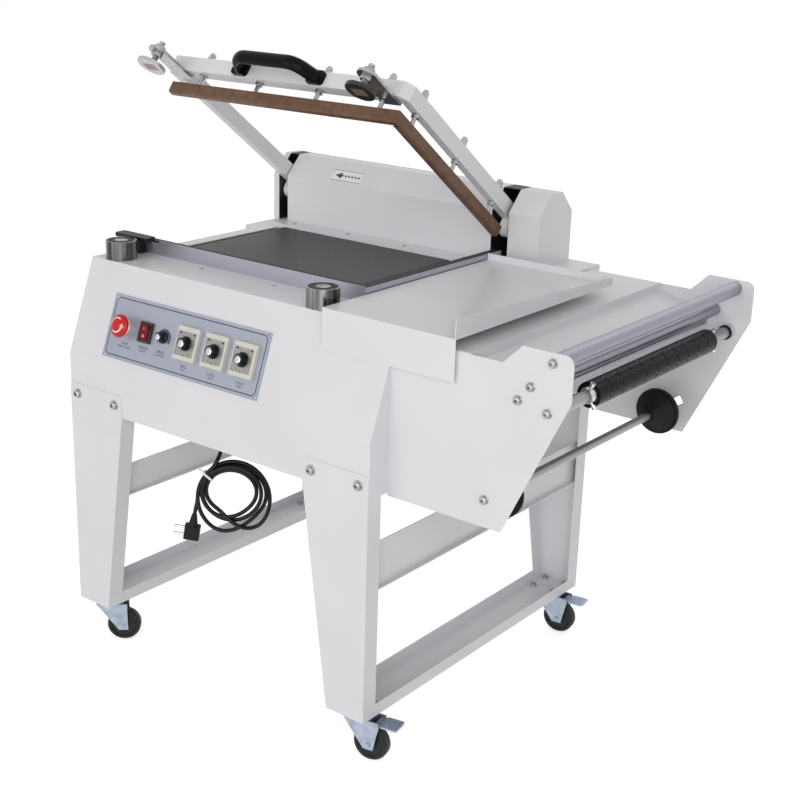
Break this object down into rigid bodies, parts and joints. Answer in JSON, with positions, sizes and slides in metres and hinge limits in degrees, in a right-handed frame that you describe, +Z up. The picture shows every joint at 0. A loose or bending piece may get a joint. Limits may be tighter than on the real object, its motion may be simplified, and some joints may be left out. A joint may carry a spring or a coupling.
{
  "type": "l bar sealer",
  "caption": "Manual L-bar film sealer: hinged hot-bar arm over an L-shaped jaw, take-away belt, infeed tray, film unwind bracket and controls on a cabinet with casters.",
  "frame": {"origin": "on the floor, midway between the cabinet's side walls and between its front and back", "axes": "+X towards the film bracket, +Y towards the arm's pivot at the back, +Z up"},
  "size_m": [1.016, 0.6731, 1.1125],
  "materials": {
    "paint": "smooth gloss cream-white powder coat",
    "panel": "brushed blue-grey aluminium",
    "timer_case": "cream moulded plastic",
    "black_plastic": "black moulded plastic",
    "red_plastic": "red moulded plastic",
    "collar_metal": "satin metal",
    "steel": "bright turned steel",
    "zinc": "bright zinc plating",
    "arm_paint": "smooth cream-white powder coat",
    "seal_coat": "brown low-stick tape over the heating bar",
    "aluminium": "satin extruded aluminium",
    "black_rubber": "black rubber",
    "black_steel": "black painted steel",
    "belt": "black belt",
    "motor": "dark grey enamel",
    "core": "varnished steel laminations",
    "spring_steel": "oiled spring steel",
    "wheel": "black moulded rubber",
    "cord": "black flexible sheath"
  },
  "bodies": {
    "base": {"cabinet_shell": "paint", "base_pan": "paint", "legs": "paint", "side_rails": "paint", "centre_cover": "paint", "end_covers": "paint", "slot_shields": "black_steel", "infeed_tray": "paint", "film_plates": "paint", "film_deck": "paint", "control_panel": "panel", "switch_collars": "collar_metal", "timer_bodies": "timer_case", "electromagnets": "steel", "lower_jaw": "aluminium", "jaw_pads": "black_rubber", "stop_bracket": "black_steel", "pivot_bearings": "steel", "return_spring": "spring_steel", "conveyor_bed": "paint", "conveyor_belt": "belt", "gear_motor": "motor", "transformer": "core", "caster_plates": "zinc", "cord_gland": "black_plastic", "cord_lead": "cord", "cord_coil": "cord", "power_plug": "black_plastic"},
    "seal_arm": {"arm_frame": "arm_paint", "pivot_shaft": "steel", "seal_bars": "seal_coat", "seal_studs": "zinc", "striker_brackets": "zinc", "strikers": "black_steel", "lift_handle": "black_plastic"},
    "drive_roller": {"drive_roller": "aluminium"},
    "idler_roller": {"idler_roller": "aluminium"},
    "estop_button": {"estop_button": "red_plastic"},
    "power_rocker": {"power_rocker": "red_plastic"},
    "speed_knob": {"speed_knob": "black_plastic"},
    "timer_knob_1": {"timer_knob_1": "black_plastic"},
    "timer_knob_2": {"timer_knob_2": "black_plastic"},
    "timer_knob_3": {"timer_knob_3": "black_plastic"},
    "top_guide_roller": {"top_guide_roller": "aluminium"},
    "middle_guide_roller": {"middle_guide_roller": "aluminium"},
    "lower_guide_roller": {"lower_guide_roller": "aluminium"},
    "perforator": {"perforator_shaft": "steel", "perforator_sleeve": "black_rubber"},
    "mandrel": {"film_mandrel": "steel", "film_cones": "black_rubber"},
    "caster_front_left": {"caster_fork_front_left": "zinc"},
    "wheel_front_left": {"caster_wheel_front_left": "wheel"},
    "caster_front_right": {"caster_fork_front_right": "zinc"},
    "wheel_front_right": {"caster_wheel_front_right": "wheel"},
    "caster_rear_right": {"caster_fork_rear_right": "zinc"},
    "wheel_rear_right": {"caster_wheel_rear_right": "wheel"},
    "caster_rear_left": {"caster_fork_rear_left": "zinc"},
    "wheel_rear_left": {"caster_wheel_rear_left": "wheel"},
    "pedal_front_right": {"brake_pedal_front_right": "zinc"},
    "pedal_rear_right": {"brake_pedal_rear_right": "zinc"}
  },
  "joints": [
    {"name": "seal_arm_hinge", "type": "hinge", "parent": "base", "child": "seal_arm", "pos_m": [0, 0.2415, 0.799], "axis": [1, 0, 0], "range_deg": [0, 36.8], "stiffness_Nm_per_rad": 30, "springref_deg": -40.11},
    {"name": "drive_roller_spin", "type": "hinge", "parent": "base", "child": "drive_roller", "pos_m": [-0.235, -0.0175, 0.73], "axis": [0, 1, 0], "continuous": true},
    {"name": "idler_roller_spin", "type": "hinge", "parent": "base", "child": "idler_roller", "pos_m": [0.153, -0.0175, 0.73], "axis": [0, 1, 0], "continuous": true},
    {"name": "estop_push", "type": "slide", "parent": "base", "child": "estop_button", "axis": [0, 0.9386, -0.3449], "range_m": [0, 0.005], "stiffness_N_per_m": 400, "springref_m": -0.004},
    {"name": "power_rocker_tilt", "type": "hinge", "parent": "base", "child": "power_rocker", "pos_m": [-0.168, -0.31386, 0.64316], "axis": [-1, 0, 0], "range_deg": [0, 14]},
    {"name": "speed_knob_turn", "type": "hinge", "parent": "base", "child": "speed_knob", "pos_m": [-0.126, -0.31311, 0.64289], "axis": [0, -0.9386, 0.3449], "range_deg": [-135, 135]},
    {"name": "timer_knob_1_turn", "type": "hinge", "parent": "base", "child": "timer_knob_1", "pos_m": [-0.066, -0.31781, 0.64461], "axis": [0, -0.9386, 0.3449], "range_deg": [-150, 150]},
    {"name": "timer_knob_2_turn", "type": "hinge", "parent": "base", "child": "timer_knob_2", "pos_m": [-0.0005, -0.31781, 0.64461], "axis": [0, -0.9386, 0.3449], "range_deg": [-150, 150]},
    {"name": "timer_knob_3_turn", "type": "hinge", "parent": "base", "child": "timer_knob_3", "pos_m": [0.065, -0.31781, 0.64461], "axis": [0, -0.9386, 0.3449], "range_deg": [-150, 150]},
    {"name": "top_guide_roller_spin", "type": "hinge", "parent": "base", "child": "top_guide_roller", "pos_m": [0.63, 0.007, 0.752], "axis": [0, 1, 0], "continuous": true},
    {"name": "middle_guide_roller_spin", "type": "hinge", "parent": "base", "child": "middle_guide_roller", "pos_m": [0.596, 0.007, 0.71], "axis": [0, 1, 0], "continuous": true},
    {"name": "lower_guide_roller_spin", "type": "hinge", "parent": "base", "child": "lower_guide_roller", "pos_m": [0.576, 0.007, 0.686], "axis": [0, 1, 0], "continuous": true},
    {"name": "perforator_spin", "type": "hinge", "parent": "base", "child": "perforator", "pos_m": [0.626, 0.007, 0.677], "axis": [0, 1, 0], "continuous": true},
    {"name": "mandrel_spin", "type": "hinge", "parent": "base", "child": "mandrel", "pos_m": [0.528, 0.007, 0.519], "axis": [0, 1, 0], "continuous": true},
    {"name": "caster_swivel_front_left", "type": "hinge", "parent": "base", "child": "caster_front_left", "pos_m": [-0.308, -0.2965, 0.08], "axis": [0, 0, 1], "continuous": true},
    {"name": "caster_wheel_spin_front_left", "type": "hinge", "parent": "caster_front_left", "child": "wheel_front_left", "pos_m": [-0.28732, -0.27914, 0.0315], "axis": [-0.6428, 0.766, 0], "continuous": true},
    {"name": "caster_swivel_front_right", "type": "hinge", "parent": "base", "child": "caster_front_right", "pos_m": [0.308, -0.2965, 0.08], "axis": [0, 0, 1], "continuous": true},
    {"name": "caster_wheel_spin_front_right", "type": "hinge", "parent": "caster_front_right", "child": "wheel_front_right", "pos_m": [0.3345, -0.29135, 0.0315], "axis": [-0.1908, 0.9816, 0], "continuous": true},
    {"name": "brake_pedal_press_front_right", "type": "hinge", "parent": "caster_front_right", "child": "pedal_front_right", "pos_m": [0.34628, -0.28906, 0.0712], "axis": [-0.1908, 0.9816, 0], "range_deg": [0, 15]},
    {"name": "caster_swivel_rear_right", "type": "hinge", "parent": "base", "child": "caster_rear_right", "pos_m": [0.308, 0.2965, 0.08], "axis": [0, 0, 1], "continuous": true},
    {"name": "caster_wheel_spin_rear_right", "type": "hinge", "parent": "caster_rear_right", "child": "wheel_rear_right", "pos_m": [0.33474, 0.30026, 0.0315], "axis": [-0.1392, 0.9903, 0], "continuous": true},
    {"name": "brake_pedal_press_rear_right", "type": "hinge", "parent": "caster_rear_right", "child": "pedal_rear_right", "pos_m": [0.34662, 0.30193, 0.0712], "axis": [-0.1392, 0.9903, 0], "range_deg": [0, 15]},
    {"name": "caster_swivel_rear_left", "type": "hinge", "parent": "base", "child": "caster_rear_left", "pos_m": [-0.308, 0.2965, 0.08], "axis": [0, 0, 1], "continuous": true},
    {"name": "caster_wheel_spin_rear_left", "type": "hinge", "parent": "caster_rear_left", "child": "wheel_rear_left", "pos_m": [-0.28462, 0.31, 0.0315], "axis": [-0.5, 0.866, 0], "continuous": true}
  ],
  "couplings": [
    {"joint": "idler_roller_spin", "follows": "drive_roller_spin", "ratio": 1}
  ]
}
